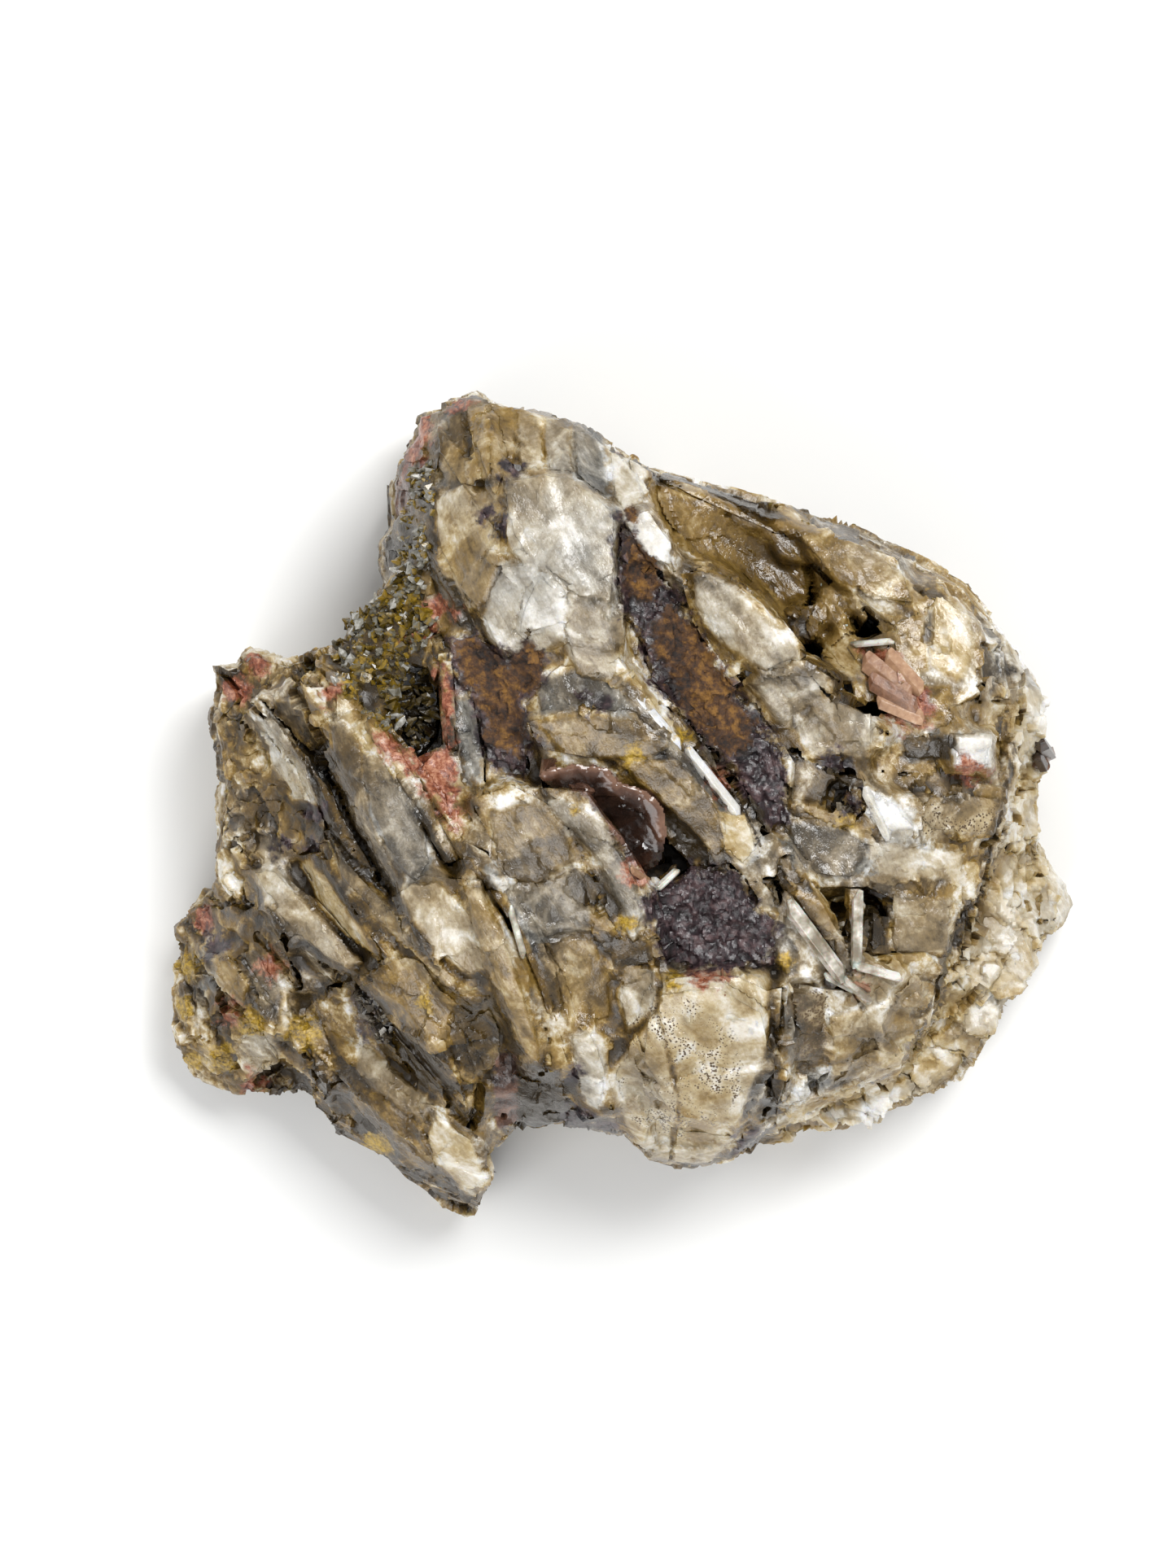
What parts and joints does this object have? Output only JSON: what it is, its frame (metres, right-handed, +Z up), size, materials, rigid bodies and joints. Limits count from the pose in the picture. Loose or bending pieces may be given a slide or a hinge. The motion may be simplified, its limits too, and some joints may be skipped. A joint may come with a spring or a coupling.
{
  "type": "celestite cluster mineral specimen",
  "caption": "Hand specimen of intergrown bladed crystals, frosty grey to honey, with rust-brown bands, salmon patches and a small crystal-lined vug, lying on its flat broken back.",
  "frame": {"origin": "middle of the plan, on the flat broken back that the specimen lies on", "axes": "+Z up out of the crystal face; +X to the right along the longest side, towards the outer crust; +Y towards the tall crown"},
  "size_m": [0.1116, 0.1026, 0.0534],
  "materials": {
    "crystal_cluster": "translucent grey to honey crystal, iron stained",
    "vug_crust": "glassy dark olive crystals"
  },
  "bodies": {
    "root": {"crystal_cluster": "crystal_cluster", "vug_crust": "vug_crust"}
  },
  "joints": []
}
